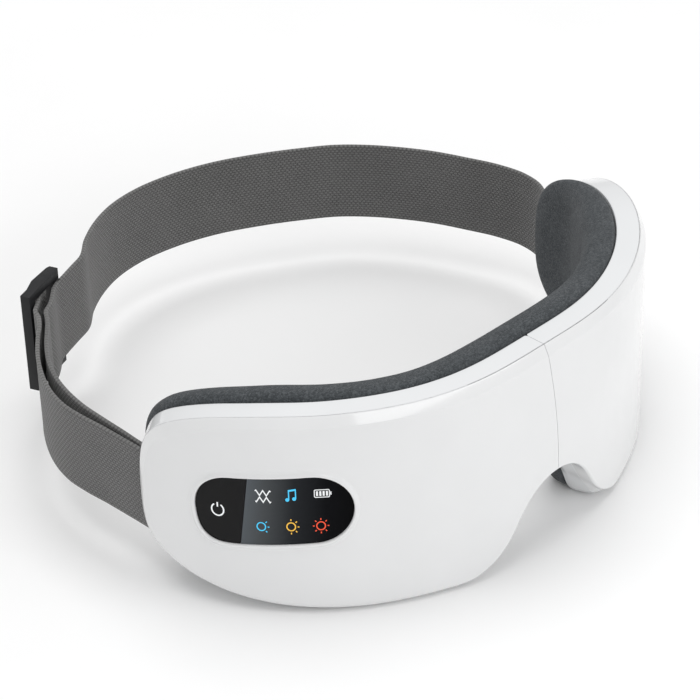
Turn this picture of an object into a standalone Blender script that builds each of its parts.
"""Foldable eye massager mask: two hinged shell halves with face pads, air compression, heat,
vibration, a control panel and an adjustable head strap.

Design space, in millimetres: s runs along the front face from the centre plane towards a temple,
w runs inwards (towards the wearer) from the front face, z is up with 0 at the top edge of the
front face. half_point() wraps (s, w, z) round the plan curve of the face.
World, in metres: +X the wearer's left, -Y the front, +Z up, origin at the bottom centre of the
overall box.
"""

import math

import bmesh
import bpy
import numpy as np
from mathutils import Matrix, Vector

# ---------------------------------------------------------------- driving dimensions, mm
MM = 0.001
RIGHT, LEFT = -1, 1         # the wearer's sides; the controls are on the right
TAG = {RIGHT: "right", LEFT: "left"}
BOX_SHIFT = (2.253, 16.25, -69.4)   # bottom centre of the overall box in design space

HALF_WIDTH = 103.0          # centre plane to the widest line of a temple
FACE_RADIUS = 89.55         # plan radius of the front face once clear of the nose
NOSE_RAMP = 29.0            # length over which the flat nose area turns into that radius
S_AT_WIDEST = 146.6         # arc length at which the face would point straight back
NOSE_BULGE = 4.7            # how far the lower nose area stands forward
NOSE_BULGE_SPAN = 36.6
NOSE_DROP = 39.0            # height over which the bulge grows, from the top edge down

BAND_H, BAND_W = 3.6, 1.9   # chamfer band: height, depth
ROUND_H, ROUND_W = 3.0, 3.2     # rounding of the bottom edge: height, depth
CRISP_H, CRISP_W = 0.8, 0.9     # crisp edge at the nose arch: height, depth
SWEEP, SWEEP_W = 4.5, 4.0   # outward sweep of the wall under the nose arch: how far, over what depth
TEMPLE_FLARE = 4.4          # how far the rim reaches beyond the chamfer band at a temple
REST_Z = -69.4              # flat underside of both lobes
WALL = 1.8
RIM_W = 9.6                 # depth of the rim where the pad starts
PLATE_W = 14.0              # back of the rear housing
PLATE_T = 1.6
PAD_W = 20.8                # back of the face pad
PAD_THIN = 4.4              # how much thinner the pad is at a temple
HOLLOW_W = 16.6             # depth of the hollow inside the pad
SEAM = 0.15                 # half of the gap between the two halves
HINGE_W = 9.0               # depth of the fold axis behind the face

STRAP_Z = -37.0
STRAP_LOW, STRAP_TOP = STRAP_Z - 15.0, STRAP_Z + 15.0
STRAP_T = 1.2

STEPS = 32                  # outline steps of a half
SPINE_SHARES = (0.0, 0.5, 0.85)     # where the rings between the spine and an edge ring lie

# Outermost outline of a half, (s, z): top to temple end, then lobe to nose arch.
OUTLINE_TOP = [
    (0, 3.6), (40, 3.6), (78, 3.6), (103.5, 2.3), (120, -0.9), (130, -4.9), (136, -9.0),
    (140.2, -14.5), (142.2, -21), (143, -29.5), (143.1, -38)]
OUTLINE_BOTTOM = [
    (143.1, -38), (142.4, -44.5), (139.8, -50.3), (135, -55.2), (128, -59.4), (118, -63.3),
    (105, -66.4), (93, -68), (78, -69), (62, -69.4), (54, -69.4), (44, -69.4), (37, -68.9),
    (31, -67.0), (26, -64.2), (21.5, -60.3), (18.2, -55.6), (15.2, -50.3), (11.6, -45.6),
    (6, -41.6), (0, -40.3)]


# ---------------------------------------------------------------- plan curve
ARC_STEP = 0.1
ARC = np.arange(0.0, 170.0, ARC_STEP)


def smoothstep(x):
    x = min(1.0, max(0.0, x))
    return x * x * (3 - 2 * x)


def running_integral(values):
    return np.concatenate([[0], np.cumsum((values[1:] + values[:-1]) / 2 * ARC_STEP)])


ramp = np.clip(ARC / NOSE_RAMP, 0, 1)
TURN = running_integral(ramp * ramp * (3 - 2 * ramp) / FACE_RADIUS)
PLAN_X = running_integral(np.cos(TURN))
PLAN_Y = running_integral(np.sin(TURN))
PLAN_X *= HALF_WIDTH / np.interp(S_AT_WIDEST, ARC, PLAN_X)
PLAN_Y -= np.interp(S_AT_WIDEST, ARC, PLAN_Y)
NOSE_Y = float(PLAN_Y[0])
HINGE_Y = NOSE_Y + HINGE_W


def face_w(s, z):
    """Depth of the front face: negative where the lower nose area stands forward."""
    drop = min(1.0, max(0.0, -z / NOSE_DROP))
    return -NOSE_BULGE * math.exp(-((s / NOSE_BULGE_SPAN) ** 2)) * (1 - (1 - drop) ** 2)


def seam(w):
    """Where a half starts: parallel to the centre plane in front of the fold axis, and on a
    relief of a little over 45 degrees behind it."""
    return SEAM + 1.1 * max(0.0, w - HINGE_W + 0.05)


def plan(s, w, side):
    """Plan place (x, y) and turning angle of the face."""
    turn = np.interp(s, ARC, TURN)
    x = np.interp(s, ARC, PLAN_X) - math.sin(turn) * w
    y = np.interp(s, ARC, PLAN_Y) + math.cos(turn) * w
    return side * float(x), float(y), float(turn)


def world(x, y, z):
    return Vector([(value - shift) * MM for value, shift in zip((x, y, z), BOX_SHIFT)])


def half_point(s, w, z, side):
    s = s + seam(w) * max(0.0, 1 - s / 30)
    x, y, _ = plan(s, w, side)
    return world(x, y, z)


def frame_at(s, w, z, side):
    """Local X along the face, local Y inwards, local Z up."""
    x, y, turn = plan(s, w, side)
    frame = Matrix.Rotation(side * turn, 4, "Z")
    frame.translation = world(x, y, z)
    return frame


def inward(s, w, z, side):
    """Local Z points towards the wearer."""
    return frame_at(s, w, z, side) @ Matrix.Rotation(math.radians(-90), 4, "X")


def upright(x, y, z):
    """World axes at a plan place."""
    return Matrix.Translation(world(x, y, z))


def between(start, end, t_start, t_end, t):
    return (t_end - t) / (t_end - t_start) * start + (t - t_start) / (t_end - t_start) * end


def smooth_path(points, count):
    """count + 1 evenly spaced points of the Catmull-Rom curve through points."""
    p = np.array(points, float)
    p = np.vstack([2 * p[0] - p[1], p, 2 * p[-1] - p[-2]])
    fine = []
    for i in range(1, len(p) - 2):
        p0, p1, p2, p3 = p[i - 1:i + 3]
        chords = [max(1e-6, np.linalg.norm(b - a)) for a, b in ((p0, p1), (p1, p2), (p2, p3))]
        t0, t1, t2, t3 = np.cumsum([0] + chords)
        for t in np.linspace(t1, t2, 12, endpoint=False):
            a1 = between(p0, p1, t0, t1, t)
            a2 = between(p1, p2, t1, t2, t)
            a3 = between(p2, p3, t2, t3, t)
            b1 = between(a1, a2, t0, t2, t)
            b2 = between(a2, a3, t1, t3, t)
            fine.append(between(b1, b2, t1, t2, t))
    fine.append(p[-2])
    fine = np.array(fine)
    lengths = np.linalg.norm(np.diff(fine, axis=0), axis=1)
    run = np.concatenate([[0], np.cumsum(lengths)])
    at = np.linspace(0, run[-1], count + 1)
    return np.stack([np.interp(at, run, fine[:, axis]) for axis in (0, 1)], 1)


# ---------------------------------------------------------------- outline of a half
def outline():
    """The points of the outline and their outward directions."""
    top = smooth_path(OUTLINE_TOP, STEPS // 2)
    bottom = smooth_path(OUTLINE_BOTTOM, STEPS // 2)
    line = np.vstack([top, bottom[1:]])
    line[:, 1] = np.where(line[:, 1] < REST_Z + 0.12, REST_Z, line[:, 1])
    along = np.gradient(line, axis=0)
    along[0], along[-1] = (1, 0), (-1, 0)
    along /= np.linalg.norm(along, axis=1)[:, None]
    return line, np.stack([-along[:, 1], along[:, 0]], 1)


LINE, OUT = outline()


def below(j, share):
    """A share that counts only where the outline faces down."""
    return share if OUT[j][1] < 0 else 0.0


def edge_size(band, rounded, crisp, j):
    """A size of the face's edge, mixed from its values on the three kinds of edge."""
    return (band + (rounded - band) * ROUNDED[j]) * (1 - CRISP[j]) + crisp * CRISP[j]


def sweep_limit(j):
    """How far the wall at step j sweeps out without passing the flat underside."""
    s, z = LINE[j]
    sweep = SWEEP * smoothstep((s - 20) / 9) * smoothstep((46 - s) / 10)
    return min(sweep, (z - REST_Z) / max(0.05, -OUT[j][1]))


# One value per outline step.
ALL_J = range(STEPS + 1)
ROUNDED = [smoothstep((0.3 - out[1]) / 0.8) for out in OUT]     # 0 chamfered, 1 rounded
ARCH = [below(j, smoothstep((38 - LINE[j][0]) / 22)) for j in ALL_J]    # 1 under the nose arch
CRISP = [below(j, smoothstep((44 - LINE[j][0]) / 14)) for j in ALL_J]   # 1 at a crisp edge
FLARE = [TEMPLE_FLARE * max(0.0, out[0]) ** 2 * (1 if p[0] > 60 else 0)
         for p, out in zip(LINE, OUT)]
INSET = [edge_size(BAND_H, ROUND_H, CRISP_H, j) for j in ALL_J]
FACE_LINE = [LINE[j] - OUT[j] * INSET[j] for j in ALL_J]        # edge of the glossy face
EDGE_W = [face_w(*FACE_LINE[j]) + edge_size(BAND_W, ROUND_W, CRISP_W, j) for j in ALL_J]
SWEPT = [below(j, sweep_limit(j)) for j in ALL_J]
PARTING_W = [EDGE_W[j] + 0.25 + 5.0 * ARCH[j] + 0.15 * ROUNDED[j] for j in ALL_J]
LEDGE_W = [RIM_W + 2.4 * arch for arch in ARCH]


def spine(j):
    """The line along the middle of a half, which the fans of rings start from."""
    m = min(j, STEPS - j)
    s = (LINE[m][0] + LINE[STEPS - m][0]) / 2
    s -= 27.0 * (s / 143.1) ** 3
    return np.array([s, -18.3 - 15.5 * smoothstep(s / 45)])


def off(j, outside, w, flare=1.0):
    """The point at step j, a distance outside the outline, at depth w."""
    sweep = SWEPT[j] * (1 - math.exp(-max(0.0, w - EDGE_W[j]) / SWEEP_W))
    s, z = LINE[j] + OUT[j] * (outside + FLARE[j] * flare + sweep)
    return (s, w, z)


def ring(point):
    """One ring of a half: point(j) gives (s, w, z)."""
    return [point(j) for j in ALL_J]


def fans(edge, depth):
    """The rings from the spine towards an edge ring; depth(s, z) gives their w."""
    rings = []
    for share in SPINE_SHARES:
        points = []
        for j in ALL_J:
            start, end = spine(j), np.array([edge[j][0], edge[j][2]])
            s, z = start + (end - start) * share
            points.append((s, depth(s, z), z))
        rings.append(points)
    return rings


# ---------------------------------------------------------------- scene and materials
for old in list(bpy.data.objects):
    bpy.data.objects.remove(old, do_unlink=True)
for old in list(bpy.data.collections):
    bpy.data.collections.remove(old)
parts = bpy.data.collections.new("eye_massager_mask")
cutters = bpy.data.collections.new("cutters")
bpy.context.scene.collection.children.link(parts)
bpy.context.scene.collection.children.link(cutters)


def material(name, color, roughness, metallic=0.0):
    mat = bpy.data.materials.new(name)
    mat.use_nodes = True
    shader = mat.node_tree.nodes["Principled BSDF"]
    shader.inputs["Base Color"].default_value = (*color, 1)
    shader.inputs["Roughness"].default_value = roughness
    shader.inputs["Metallic"].default_value = metallic
    mat.diffuse_color = (*color, 1)
    return mat


WHITE = material("white_gloss_plastic", color=(0.86, 0.87, 0.88), roughness=0.12)
PEARL = material("pearl_plastic", color=(0.78, 0.80, 0.81), roughness=0.25)
PAD_GREY = material("pad_fabric", color=(0.10, 0.11, 0.12), roughness=0.95)
STRAP_GREY = material("strap_webbing", color=(0.12, 0.125, 0.13), roughness=0.9)
DARK = material("dark_plastic", color=(0.06, 0.062, 0.066), roughness=0.45)
BLACK = material("black_lens", color=(0.01, 0.01, 0.012), roughness=0.1)
PCB = material("circuit_board", color=(0.02, 0.20, 0.07), roughness=0.4)
STEEL = material("steel", color=(0.60, 0.60, 0.62), roughness=0.3, metallic=1.0)
SILVER = material("battery_foil", color=(0.70, 0.71, 0.73), roughness=0.35, metallic=0.8)
BLADDER = material("air_bladder", color=(0.35, 0.36, 0.38), roughness=0.5)
FILM = material("heating_film", color=(0.60, 0.26, 0.06), roughness=0.4)
HOSE = material("hose_silicone", color=(0.75, 0.76, 0.76), roughness=0.4)


# ---------------------------------------------------------------- shape helpers
def finish(name, mesh, mat=None):
    """Makes the object. One without a material is a hidden helper for a boolean."""
    obj = bpy.data.objects.new(name, mesh)
    if mat is None:
        cutters.objects.link(obj)
        obj.hide_render = True
        obj.display_type = "WIRE"
    else:
        parts.objects.link(obj)
        mesh.materials.append(mat)
        mesh.shade_smooth()
        mesh.set_sharp_from_angle(angle=math.radians(35))
    return obj


def finish_bmesh(name, bm, mat=None):
    mesh = bpy.data.meshes.new(name)
    bm.to_mesh(mesh)
    bm.free()
    return finish(name, mesh, mat)


def face_outwards(mesh, merge=False):
    """Turns the faces outwards, after merging double vertices if asked."""
    bm = bmesh.new()
    bm.from_mesh(mesh)
    if merge:
        bmesh.ops.remove_doubles(bm, verts=bm.verts, dist=0.000001)
    bmesh.ops.recalc_face_normals(bm, faces=bm.faces)
    bm.to_mesh(mesh)
    bm.free()


def add(name, verts, faces, mat=None):
    mesh = bpy.data.meshes.new(name)
    mesh.from_pydata([tuple(v) for v in verts], [], faces)
    face_outwards(mesh)
    return finish(name, mesh, mat)


def boolean(obj, tool, operation="DIFFERENCE"):
    mod = obj.modifiers.new(tool.name, "BOOLEAN")
    mod.operation = operation
    mod.object = tool
    mod.solver = "EXACT"


def bowl(name, outer, inner, side, mat):
    """A closed wall between matching outer and inner rings, the first of each on the spine."""
    verts, index, faces = [], {}, []

    def vertex(layer, i, j):
        if i == 0:
            j = min(j, STEPS - j)
        key = (layer, i, j)
        if key not in index:
            index[key] = len(verts)
            verts.append(half_point(*(outer, inner)[layer][i][j], side))
        return index[key]

    def quad(*keys):
        face = list(dict.fromkeys(vertex(*key) for key in keys))
        if len(face) > 2:
            faces.append(face)

    last = len(outer) - 1
    for i in range(last):
        for j in range(STEPS):
            for layer in (0, 1):
                quad((layer, i, j), (layer, i + 1, j), (layer, i + 1, j + 1), (layer, i, j + 1))
        for j in (0, STEPS):
            quad((0, i, j), (0, i + 1, j), (1, i + 1, j), (1, i, j))
    for j in range(STEPS):
        quad((0, last, j), (0, last, j + 1), (1, last, j + 1), (1, last, j))
    return add(name, verts, faces, mat)


def slab(name, line, w0, w1, side, mat=None, shares=(1.0, 0.6, 0.25)):
    """A plate curved like the face: its outline in (s, z) is star-shaped about its middle."""
    line = np.array(line, float)
    mid = (line.min(0) + line.max(0)) / 2
    n, verts, faces = len(line), [], []
    for w in (w0, w1):
        for share in shares:
            for s, z in mid + (line - mid) * share:
                verts.append(half_point(s, w, z, side))
        verts.append(half_point(mid[0], w, mid[1], side))
    block = n * len(shares) + 1
    for base in (0, block):
        for r in range(len(shares) - 1):
            a, b = base + r * n, base + (r + 1) * n
            for i in range(n):
                k = (i + 1) % n
                faces.append((a + i, a + k, b + k, b + i))
        a = base + (len(shares) - 1) * n
        for i in range(n):
            faces.append((a + i, a + (i + 1) % n, base + block - 1))
    for i in range(n):
        k = (i + 1) % n
        faces.append((i, k, block + k, block + i))
    return add(name, verts, faces, mat)


def box(name, size, frame, mat=None, bevel=0):
    bm = bmesh.new()
    bmesh.ops.create_cube(bm, size=1.0)
    bmesh.ops.scale(bm, vec=Vector(size) * MM, verts=bm.verts)
    if bevel:
        bmesh.ops.bevel(bm, geom=bm.edges[:], offset=bevel * MM, segments=2, profile=0.5,
                        affect="EDGES")
    obj = finish_bmesh(name, bm, mat)
    obj.matrix_world = frame
    return obj


def cylinder(name, radius, length, frame, mat=None, sides=16):
    bm = bmesh.new()
    bmesh.ops.create_cone(bm, cap_ends=True, segments=sides, radius1=radius * MM,
                          radius2=radius * MM, depth=length * MM)
    obj = finish_bmesh(name, bm, mat)
    obj.matrix_world = frame
    return obj


def turned(name, profile, frame, mat, steps=16):
    """A turned piece: profile is (radius, height) from one end of its axis to the other."""
    mesh = bpy.data.meshes.new(name)
    links = [(i, i + 1) for i in range(len(profile) - 1)]
    mesh.from_pydata([(r * MM, 0, h * MM) for r, h in profile], links, [])
    obj = finish(name, mesh, mat)
    mod = obj.modifiers.new("turn", "SCREW")
    mod.steps = mod.render_steps = steps
    mod.use_merge_vertices = True
    mod.merge_threshold = 0.00001
    mod.use_smooth_shade = True
    obj.matrix_world = frame


def raise_copy(bm, extruded, height):
    """Lifts the new vertices of an extrusion and turns all faces outwards."""
    moved = [item for item in extruded["geom"] if isinstance(item, bmesh.types.BMVert)]
    bmesh.ops.translate(bm, vec=Vector((0, 0, height * MM)), verts=moved)
    bmesh.ops.recalc_face_normals(bm, faces=bm.faces)


def extruded(name, base, height, mat=None):
    """A flat outline, in metres, extruded upwards by a height in millimetres."""
    bm = bmesh.new()
    face = bm.faces.new([bm.verts.new(point) for point in base])
    raise_copy(bm, bmesh.ops.extrude_face_region(bm, geom=[face]), height)
    return finish_bmesh(name, bm, mat)


def ribbon(name, path):
    """A piece of strap: a plan path extruded upwards and given its thickness by Solidify."""
    bm = bmesh.new()
    line = [bm.verts.new(world(x, y, STRAP_LOW)) for x, y in path]
    edges = [bm.edges.new(pair) for pair in zip(line, line[1:])]
    raise_copy(bm, bmesh.ops.extrude_edge_only(bm, edges=edges), STRAP_TOP - STRAP_LOW)
    mod = finish_bmesh(name, bm, STRAP_GREY).modifiers.new("thickness", "SOLIDIFY")
    mod.thickness = STRAP_T * MM
    mod.offset = 0
    mod.use_even_offset = True


def tube(name, points, radius, mat):
    """A round tube along points, baked from a bevelled curve."""
    curve = bpy.data.curves.new(name, "CURVE")
    curve.dimensions = "3D"
    curve.bevel_depth = radius * MM
    curve.bevel_resolution = 2
    curve.use_fill_caps = True
    spline = curve.splines.new("POLY")
    spline.points.add(len(points) - 1)
    for target, point in zip(spline.points, points):
        target.co = (*point, 1)
    source = bpy.data.objects.new(name + "_curve", curve)
    parts.objects.link(source)
    bpy.context.view_layer.update()
    evaluated = source.evaluated_get(bpy.context.evaluated_depsgraph_get())
    mesh = bpy.data.meshes.new_from_object(evaluated)
    bpy.data.objects.remove(source, do_unlink=True)
    face_outwards(mesh, merge=True)
    mesh.materials.clear()
    finish(name, mesh, mat)


# ---------------------------------------------------------------- shells and pad
def front_shell(side):
    """Glossy face with the chamfer band round it."""
    def inner_face(j):
        s, z = LINE[j] - OUT[j] * max(INSET[j] + 0.9, 2.6)
        return (s, face_w(s, z) + WALL, z)

    def mid_band(j):
        w = face_w(*FACE_LINE[j]) + edge_size(0.5 * BAND_W, 0.3 * ROUND_W, 0.35, j)
        return off(j, -INSET[j] * (0.5 - 0.21 * ROUNDED[j]), w, 0)

    def inner_mid(j):
        w = max(EDGE_W[j] - 0.2 * ROUNDED[j], face_in[j][1] + 0.05)
        return off(j, 0.3 * ROUNDED[j] - 2.7 + 0.25 * CRISP[j], w, 0)

    edge = ring(lambda j: (FACE_LINE[j][0], face_w(*FACE_LINE[j]), FACE_LINE[j][1]))
    lip = ring(lambda j: off(j, 0, EDGE_W[j], 0))
    end = ring(lambda j: off(j, 0, PARTING_W[j], 0))
    face_in = ring(inner_face)
    mid_in = ring(inner_mid)
    lip_in = ring(lambda j: off(j, -1.9, max(PARTING_W[j] - 0.12, mid_in[j][1] + 0.05), 0))
    end_in = ring(lambda j: off(j, -WALL, PARTING_W[j], 0))
    outer = fans(edge, face_w) + [edge, ring(mid_band), lip, end]
    inner = fans(face_in, lambda s, z: face_w(s, z) + WALL) + [face_in, mid_in, lip_in, end_in]
    return bowl("front_shell_" + TAG[side], outer, inner, side, WHITE)


def rear_housing(side):
    """Side band, rim ledge and raised back plate."""
    plate_in = PLATE_W - PLATE_T
    plate = ring(lambda j: off(j, -5.0, PLATE_W))
    ledge = ring(lambda j: off(j, -3.0, LEDGE_W[j] + 0.2))
    rim = ring(lambda j: off(j, 0, LEDGE_W[j]))
    band = ring(lambda j: off(j, 0, PARTING_W[j] + 0.3, 0))
    inner_plate = ring(lambda j: off(j, -6.7, plate_in))
    inner_ledge = ring(lambda j: off(j, -4.8, LEDGE_W[j] - 1.3))
    inner_rim = ring(lambda j: off(j, -WALL, LEDGE_W[j] - 1.5))
    inner_band = ring(lambda j: off(j, -WALL, PARTING_W[j] + 0.3, 0))
    outer = fans(plate, lambda s, z: PLATE_W) + [plate, ledge, rim, band]
    inner = fans(inner_plate, lambda s, z: plate_in)
    inner += [inner_plate, inner_ledge, inner_rim, inner_band]
    return bowl("rear_housing_" + TAG[side], outer, inner, side, PEARL)


def thinning(s, side):
    """How much less the pad stands back towards a temple: it stays fuller on the right."""
    return (PAD_THIN if side > 0 else 0.25 * PAD_THIN) * smoothstep((s - 88) / 44)


def hollow(s):
    """The same for the hollow inside the pad."""
    return 2.2 * smoothstep((s - 114) / 16)


def pad_swell(j, side):
    """How far the side of the pad stands outside the outline."""
    s, (out_s, out_z) = LINE[j][0], OUT[j]
    swell = 1.0 - 1.6 * ROUNDED[j]
    if side < 0:
        swell += 0.9 * smoothstep((s - 60) / 40) * (1 - ROUNDED[j])
    if s > 60:
        swell += 1.4 * max(0.0, out_s) ** 2
    if out_z > 0.5:
        swell += 1.2 * smoothstep((50 - s) / 35)
    return swell


def face_pad(side):
    """Wraps the back plate and leaves room for the air bladder and the heating film."""
    def shoulder(j):
        return off(j, pad_swell(j, side) - 0.3, 17.2 - 0.62 * thinning(LINE[j][0], side))

    foot = ring(lambda j: off(j, -0.5, LEDGE_W[j] + 0.4))
    belly = ring(lambda j: off(j, pad_swell(j, side), LEDGE_W[j] + 2.8))
    back = ring(lambda j: off(j, -3.0, 20.3 - thinning(LINE[j][0], side)))
    foot_in = ring(lambda j: off(j, -2.6, LEDGE_W[j] + 0.55))
    belly_in = ring(lambda j: off(j, -4.45, 14.0))
    shoulder_in = ring(lambda j: off(j, -4.7, 16.2 - 0.86 * hollow(LINE[j][0])))
    back_in = ring(lambda j: off(j, -8.0, HOLLOW_W - hollow(LINE[j][0])))
    outer = fans(back, lambda s, z: PAD_W - thinning(s, side))
    outer += [back, ring(shoulder), belly, foot]
    inner = fans(back_in, lambda s, z: HOLLOW_W - hollow(s))
    inner += [back_in, shoulder_in, belly_in, foot_in]
    bowl("face_pad_" + TAG[side], outer, inner, side, PAD_GREY)


# ---------------------------------------------------------------- fittings of each half
EYE_S, EYE_Z = 62, -31
SCREWS = [(14.0, -6.0), (112.0, -8.0), (84.0, -60.0)]      # (s, z)
SCREW_HOLE_R = 1.35
BOSS_R, BOSS_L = 2.5, 8.4
# Turned profiles, (radius, height).
SCREW_PROFILE = [
    (0, 1.15), (1.3, 1.15), (1.9, 0.55), (1.9, 0.0), (1.0, 0.0), (1.0, -8.6), (0.6, -9.3),
    (0, -9.3)]
MOTOR_PROFILE = [
    (0, 6), (2.5, 6), (3.0, 5.5), (3.0, -6), (1.0, -6), (1.0, -6.6), (0.5, -6.6), (0.5, -11.6),
    (0, -11.6)]
SPEAKER_PROFILE = [
    (0, 1.4), (3.0, 1.4), (3.0, 0.9), (7.6, 0.9), (7.6, -1.0), (5.0, -1.4), (5.0, -2.6),
    (0, -2.6)]
MOTOR_AT = (22.0, 6.6, -14.0)       # (s, w, z)
SPEAKER_AT = (123.0, 9.0, -34.0)
WEIGHT_H = 4.0
WEIGHT_DROP = 9.1                   # centre of the weight below the centre of the motor
KNUCKLES = {RIGHT: [(-11.5, -5.0), (-24.7, -18.5)],         # (bottom or top, z)
            LEFT: [(-18.1, -11.9), (-31.5, -25.1)]}
KNUCKLES = {RIGHT: [(-11.5, -5.0), (-24.7, -18.5)], LEFT: [(-18.1, -11.9), (-31.5, -25.1)]}
BRACKET_X = (0.4, 1.7)              # the two faces of a hinge bracket
BRACKET_Z = (-34.0, -1.5)
BRACKET_BACK_W = 7.05
STRAP_SLOT = {RIGHT: (-96.55, 4.7), LEFT: (96.4, 2.6)}      # x of the middle, width
ANCHOR_X = 96.2


def eye_oval(radius_s, radius_z):
    """A squarish ellipse of 20 points over the eye."""
    points = []
    for i in range(20):
        angle = 2 * math.pi * (i + 0.5) / 20
        c, s = math.cos(angle), math.sin(angle)
        points.append((EYE_S + radius_s * abs(c) ** 0.8 * (1 if c > 0 else -1),
                       EYE_Z + radius_z * abs(s) ** 0.8 * (1 if s > 0 else -1)))
    return points


def eye_layers(side):
    """Air bladder and heating film between the back plate and the pad."""
    slab("air_bladder_" + TAG[side], eye_oval(40, 20), 14.35, 15.35, side, BLADDER, (1.0, 0.5))
    slab("heating_film_" + TAG[side], eye_oval(36, 17), 15.7, 16.05, side, FILM, (1.0, 0.5))


def housing_screws(front, rear, side):
    """Screws through the rear housing into bosses of the front shell."""
    for k, (s, z) in enumerate(SCREWS, 1):
        end = f"{TAG[side]}_{k}"
        boss_frame = inward(s, 5.2 + face_w(s, z), z, side)
        boolean(front, cylinder("boss_" + end, BOSS_R, BOSS_L, boss_frame), "UNION")
        boolean(front, cylinder("boss_hole_" + end, SCREW_HOLE_R, 7.0, inward(s, 7.4, z, side)))
        boolean(rear, cylinder("screw_hole_" + end, SCREW_HOLE_R, 6.0, inward(s, 13.2, z, side)))
        seat = inward(s, PLATE_W + 0.2, z, side)
        turned("housing_screw_" + end, SCREW_PROFILE, seat, STEEL, 8)


def arc(radius, start, end, count, centre=(0, 0)):
    """count points of an arc; start and end are in degrees."""
    return [(centre[0] + radius * math.cos(t), centre[1] + radius * math.sin(t))
            for t in np.radians(np.linspace(start, end, count))]


def vibration_motor(side):
    """Motor with its eccentric weight on the shaft below it."""
    can = frame_at(*MOTOR_AT, side)
    turned("vibration_motor_" + TAG[side], MOTOR_PROFILE, can, STEEL)
    base = [(x * MM, y * MM, -WEIGHT_H / 2 * MM)
            for x, y in arc(2.6, 0, 180, 13) + arc(1.3, 180, 360, 9)]
    weight = extruded("vibration_weight_" + TAG[side], base, WEIGHT_H, STEEL)
    frame = can @ Matrix.Translation((0, 0, -WEIGHT_DROP * MM))
    boolean(weight, cylinder("shaft_bore_" + TAG[side], 0.68, 6.0, frame))
    weight.matrix_world = frame


def hinge_bracket(side):
    """A plate beside the seam with two knuckles on the fold axis."""
    tag = TAG[side]
    heights = np.linspace(*BRACKET_Z, 8)
    section = [(face_w(0, z) + WALL + 0.45, z) for z in heights]
    section += [(BRACKET_BACK_W, heights[-1]), (BRACKET_BACK_W, heights[0])]
    verts = [world(side * x, NOSE_Y + w, z) for x in BRACKET_X for w, z in section]
    m = len(section)
    faces = [tuple(range(m)), tuple(range(m, 2 * m))]
    faces += [(i, (i + 1) % m, m + (i + 1) % m, m + i) for i in range(m)]
    bracket = add("hinge_bracket_" + tag, verts, faces, STEEL)
    for k, (low, high) in enumerate(KNUCKLES[side]):
        mid = (low + high) / 2
        web_frame = upright(side * 1.05, NOSE_Y + 8.1, mid)
        boolean(bracket, box(f"web_{tag}_{k}", (1.06, 2.9, high - low - 0.4), web_frame), "UNION")
        knuckle = cylinder(f"knuckle_{tag}_{k}", 1.7, high - low, upright(0, HINGE_Y, mid))
        boolean(bracket, knuckle, "UNION")
    boolean(bracket, cylinder("knuckle_bore_" + tag, 0.97, 40, upright(0, HINGE_Y, -18)))


def strap_anchor(rear, side):
    """Slot in the temple end for the strap, and the bar that holds the strap inside."""
    x, width = STRAP_SLOT[side]
    slot = box("strap_slot_" + TAG[side], (width, 16, 31.2), upright(x, 1.5, STRAP_Z))
    boolean(rear, slot)
    bar_frame = upright(side * ANCHOR_X, -9.0, STRAP_Z + 1.0)
    cylinder("strap_anchor_bar_" + TAG[side], 1.3, 26.0, bar_frame, STEEL, 12)


def half(side):
    front, rear = front_shell(side), rear_housing(side)
    face_pad(side)
    eye_layers(side)
    housing_screws(front, rear, side)
    vibration_motor(side)
    speaker_frame = inward(*SPEAKER_AT, side)
    turned("speaker_" + TAG[side], SPEAKER_PROFILE, speaker_frame, DARK, 20)
    hinge_bracket(side)
    strap_anchor(rear, side)
    return front, rear


# ---------------------------------------------------------------- control panel
PANEL_S, PANEL_Z = 96.5, -30.6
PANEL_L, PANEL_H = 49.5, 24.7
PANEL_TILT = 4.5            # degrees, nose end higher
BUTTON_S, BUTTON_Z = 113.9, -32.0
DIVIDE = np.array([(104.0, -18.65), (107.05, -43.3)])   # line between display and key, (s, z)
# Board outline, (s, z).
DISPLAY_BOARD = [
    (79, -41), (79, -21), (90, -21), (100, -21), (110, -21), (119, -21), (119, -41), (110, -41),
    (100, -41), (90, -41)]


def panel_outline(grow, arc_steps=7):
    """The tilted pill of the panel, longer and higher by grow; its temple end is squarer."""
    length, height = PANEL_L + grow, PANEL_H + grow
    r = height / 2
    tilt = math.radians(-PANEL_TILT)
    c, s = math.cos(tilt), math.sin(tilt)
    points = []
    for end, start, power in ((1, -90, 0.8), (-1, 90, 1.0)):
        for i in range(arc_steps + 1):
            angle = math.radians(start + 180 * i / arc_steps)
            x = end * (length / 2 - r) + r * abs(math.cos(angle)) ** power * end
            z = r * abs(math.sin(angle)) ** power * math.copysign(1, math.sin(angle))
            points.append((PANEL_S + x * c - z * s, PANEL_Z + x * s + z * c))
    return points


def divided(points, sign, gap):
    """The part of an outline on the nose side (sign 1) or temple side (-1) of DIVIDE."""
    along = DIVIDE[1] - DIVIDE[0]
    along /= np.linalg.norm(along)
    to_nose = np.array([along[1], -along[0]])
    inside = [sign * float((np.array(p) - DIVIDE[0]) @ to_nose) - gap for p in points]
    kept = []
    for i, p in enumerate(points):
        k = (i + 1) % len(points)
        q, a, b = points[k], inside[i], inside[k]
        if a >= 0:
            kept.append(p)
        if (a >= 0) != (b >= 0):
            t = a / (a - b)
            kept.append((p[0] + (q[0] - p[0]) * t, p[1] + (q[1] - p[1]) * t))
    return kept


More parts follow.
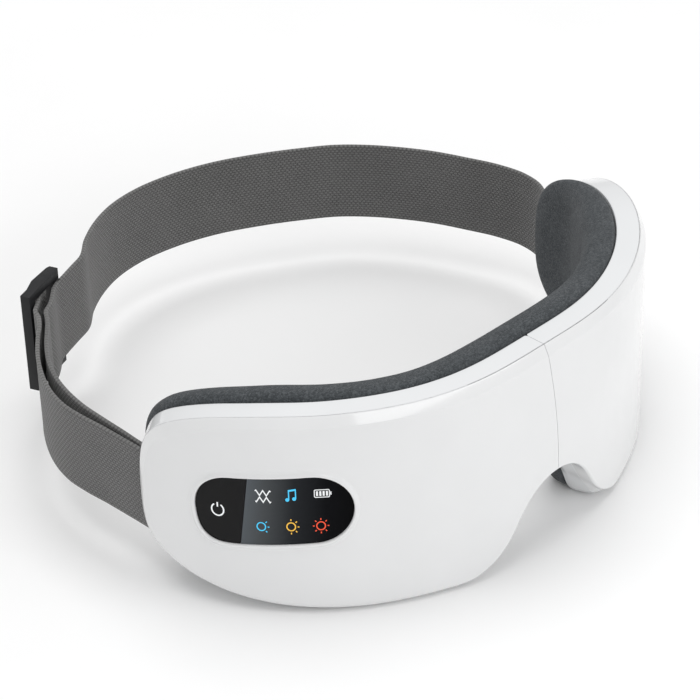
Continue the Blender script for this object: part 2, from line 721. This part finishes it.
def control_panel(front):
    boolean(front, slab("panel_opening", panel_outline(3.0, 8), -3, 4, RIGHT))
    bezel = slab("panel_bezel", panel_outline(2.4, 8), -0.55, 1.75, RIGHT, WHITE)
    boolean(bezel, slab("bezel_opening", panel_outline(0.4), -3, 4, RIGHT))
    slab("display_window", divided(panel_outline(-0.2), 1, 0.15), 0.0, 1.4, RIGHT, BLACK)
    key = slab("power_button", divided(panel_outline(-0.3), -1, 0.2), 0.0, 1.5, RIGHT, DARK)
    slab("display_board", DISPLAY_BOARD, 4.4, 5.4, RIGHT, PCB)
    switch_frame = frame_at(BUTTON_S, 3.2, BUTTON_Z, RIGHT)
    box("tact_switch", (5.0, 1.7, 5.0), switch_frame, DARK, 0.25)
    # The key's origin goes on the line it is pressed along.
    centre = half_point(BUTTON_S, 0.7, BUTTON_Z, RIGHT)
    key.data.transform(Matrix.Translation(-centre))
    key.location = centre


# ---------------------------------------------------------------- power, air and hinge pin
MAIN_BOARD = [              # (s, z)
    (37, -58), (37, -30), (45, -30), (53, -30), (61, -30), (61, -58), (53, -58), (45, -58)]
# Turned profiles, (radius, height).
PUMP_PROFILE = [
    (0, 14), (3.6, 14), (4.0, 13), (4.0, 6), (4.5, 5.5), (4.5, -8), (2.4, -8.5), (2.4, -9.5),
    (1.2, -9.5), (1.2, -12.5), (0, -12.5)]
VALVE_PROFILE = [(0, 5), (3.4, 5), (3.4, -4), (1.1, -4.4), (1.1, -7), (0, -7)]
PIN_PROFILE = [(0, -3.1), (1.4, -3.1), (1.4, -4.5), (0.75, -4.5), (0.75, -32.4), (0, -32.4)]
VALVE_S, VALVE_W = 77, 7.4
HOSE_S, HOSE_Z = 72, -22            # where the hose passes through the rear housing
HOSE_PATH = [                       # (s, w, z)
    (VALVE_S, VALVE_W, -18.1), (76.5, 7.6, -20.2), (74, 8.9, -21.8), (HOSE_S, 11.0, HOSE_Z),
    (HOSE_S, 14.0, HOSE_Z)]
PORT_S, PORT_W = 66, 6.7


def power_parts(rear):
    box("battery_pack", (26, 3.8, 30), frame_at(97.5, 8.9, -29, RIGHT), SILVER, 0.8)
    slab("main_board", MAIN_BOARD, 5.6, 6.8, RIGHT, PCB)
    port_frame = frame_at(PORT_S, PORT_W, REST_Z + 3.5, RIGHT)
    box("usb_charge_port", (8.9, 3.2, 6.8), port_frame, STEEL, 0.5)
    opening_frame = frame_at(PORT_S, PORT_W, REST_Z + 1.5, RIGHT)
    return box("port_opening", (9.6, 3.9, 9), opening_frame)


def air_parts(rear):
    """Pump lying along the face, valve, and the hose through the rear housing."""
    pump_frame = frame_at(54, 7.1, -14, RIGHT) @ Matrix.Rotation(math.radians(90), 4, "Y")
    turned("air_pump", PUMP_PROFILE, pump_frame, DARK, 20)
    valve_frame = frame_at(VALVE_S, VALVE_W, -10.5, RIGHT)
    turned("solenoid_valve", VALVE_PROFILE, valve_frame, STEEL)
    boolean(rear, cylinder("hose_hole", 1.9, 6, inward(HOSE_S, 13.2, HOSE_Z, RIGHT)))
    tube("air_hose", [half_point(*point, RIGHT) for point in HOSE_PATH], 1.3, HOSE)


# ---------------------------------------------------------------- strap and slider
# Strap centre lines in plan, (x, y), in design space. The outer run starts in the right temple
# and ends at the slider; the main run starts beside it, passes the slider, goes round the back
# of the head and ends in the left temple.
RUN_OUTER = [
    (-97.6, -5), (-97.6, 2), (-97.75, 10), (-97.9, 17), (-98.4, 26), (-98.1, 35), (-96.5, 42),
    (-94.2, 48), (-90.4, 55.2), (-86.6, 61), (-82.4, 66.3), (-77.9, 71.4), (-73.2, 76.2),
    (-70.2, 80.4), (-68.9, 83.6), (-67.1, 85.3)]
RUN_MAIN = [
    (-95.5, -5), (-95.5, 2), (-95.1, 10), (-94.8, 19.5), (-94.1, 31), (-92.1, 41.2),
    (-88.6, 51.1), (-84.1, 59.1), (-78.9, 66.0), (-73.9, 71.6), (-69.4, 76.8), (-66.6, 80.9)]
RUN_BACK = [
    (-27.8, 105.6), (-19.4, 111), (-7.6, 115.9), (5.5, 117.8), (20, 116.5), (35.9, 112),
    (52.5, 103.7), (65.3, 95.5), (75.1, 88.2), (83, 79.5), (89.9, 69.4), (95.9, 58.4),
    (100.6, 46.4), (104.6, 34.4), (106.0, 23.9), (104.5, 15.5)]
RUN_END = [(101.1, 9.4), (98.4, 5.0), (96.9, 1.0), (96.4, -2), (96.4, -5)]
STUB_R, BACK_R = 125.9, 127.0   # the strap is parted between these plan radii about the fold axis

# The slider's own plan axes: along it, then across it away from the face.
SLIDER_AT = np.array((-59.6, 89.8))
SLIDER_ANGLE = math.radians(22.0)       # from +X
ALONG = np.array([math.cos(SLIDER_ANGLE), math.sin(SLIDER_ANGLE)])
ACROSS = np.array([-math.sin(SLIDER_ANGLE), math.cos(SLIDER_ANGLE)])
# Main run through the slider, and outlines of the slider, its window and its bar, (along, across).
RUN_SLIDER = [(-6, -5.0), (-0.8, -3.3), (4, -1.6), (8, -1.1), (12, -1.0), (18, -1.0), (24, -1.0)]
SLIDER = [
    (-10.2, -0.1), (9.9, -0.1), (9.9, 3.0), (8.6, 3.6), (-0.5, 4.4), (-5.9, 3.3), (-10.2, 3.4)]
WINDOW = [(-6.6, -2.0), (6.4, -2.0), (6.4, 6.0), (-6.6, 6.0)]
BAR = [(-1.2, 1.25), (1.2, 1.25), (1.2, 2.55), (-1.2, 2.55)]


def slider_plan(along, across):
    return SLIDER_AT + ALONG * along + ACROSS * across


def strap():
    straight = [tuple(slider_plan(*point)) for point in RUN_SLIDER]
    full = smooth_path(RUN_MAIN + straight + RUN_BACK + RUN_END, 400)
    radius = np.hypot(full[:, 0], full[:, 1] - HINGE_Y)
    near_left = (full[:, 0] > 80) & (full[:, 1] < 40)
    last_back = np.flatnonzero(~(near_left & (radius < BACK_R)))[-1]
    first_stub = np.flatnonzero(near_left & (radius < STUB_R))[0]
    ribbon("strap_main", np.vstack([full[:last_back:4], full[last_back]]))
    ribbon("strap_stub_left", full[first_stub::2])
    ribbon("strap_outer_run", smooth_path(RUN_OUTER, 34))


def prism(name, outline_points, grow, mat=None):
    """An outline in the slider's plan axes, as high as the strap plus grow at both ends."""
    low, top = STRAP_LOW - grow, STRAP_TOP + grow
    return extruded(name, [world(*slider_plan(*p), low) for p in outline_points], top - low, mat)


def racetrack(radius):
    return arc(radius, 90, 270, 9, (-1.0, 1.9)) + arc(radius, -90, 90, 9, (1.0, 1.9))


def slider_and_loop():
    """The slider, and the loop of the outer run sewn round its bar."""
    slider = prism("slider_buckle", SLIDER, 3.6, DARK)
    boolean(slider, prism("slider_window", WINDOW, 0.4))
    boolean(slider, prism("slider_bar", BAR, 1.5), "UNION")
    loop = prism("strap_sewn_loop", racetrack(1.7), -0.2, STRAP_GREY)
    boolean(loop, prism("sewn_loop_inside", racetrack(0.95), 1.0))


# ---------------------------------------------------------------- assembly
front_right, rear_right = half(RIGHT)
half(LEFT)
control_panel(front_right)
port_opening = power_parts(rear_right)
air_parts(rear_right)
boolean(rear_right, port_opening)       # after the hose hole
turned("hinge_pin", PIN_PROFILE, upright(0, HINGE_Y, 0), STEEL)
strap()
slider_and_loop()
